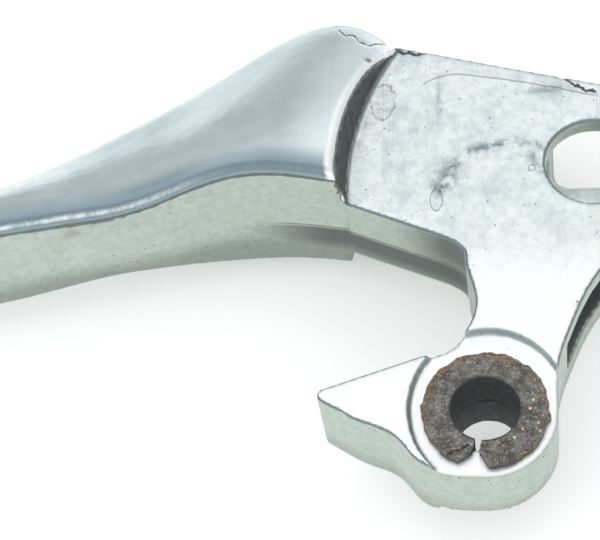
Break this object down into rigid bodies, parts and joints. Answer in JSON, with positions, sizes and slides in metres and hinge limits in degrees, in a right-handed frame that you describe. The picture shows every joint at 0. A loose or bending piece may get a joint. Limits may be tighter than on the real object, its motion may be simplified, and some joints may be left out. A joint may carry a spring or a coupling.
{
  "type": "clutch lever",
  "caption": "Cast aluminium hand lever with a stepped blade and ball end, a forked cable head and a boss that swings on split flanged bushes.",
  "frame": {"origin": "on the pivot axis, halfway through the boss, where the two bushes meet", "axes": "+Z along the pivot axis towards the rider's side of the head plate, -X out along the blade to the ball end, +Y forwards, away from the handlebar"},
  "size_m": [0.1889, 0.0679, 0.0239],
  "materials": {
    "cast_aluminium": "as cast on the walls, worn and scratched on the plate, buffed on the blade",
    "bush_metal": "worn, with a rusted rim and a dark lining"
  },
  "bodies": {
    "pivot_bushes": {"upper_bush": "bush_metal", "lower_bush": "bush_metal"},
    "lever": {"lever_casting": "cast_aluminium"}
  },
  "joints": [
    {"name": "lever_swing", "type": "hinge", "parent": "pivot_bushes", "child": "lever", "pos_m": [0, 0, 0], "axis": [0, 0, 1], "range_deg": [0, 22]}
  ]
}
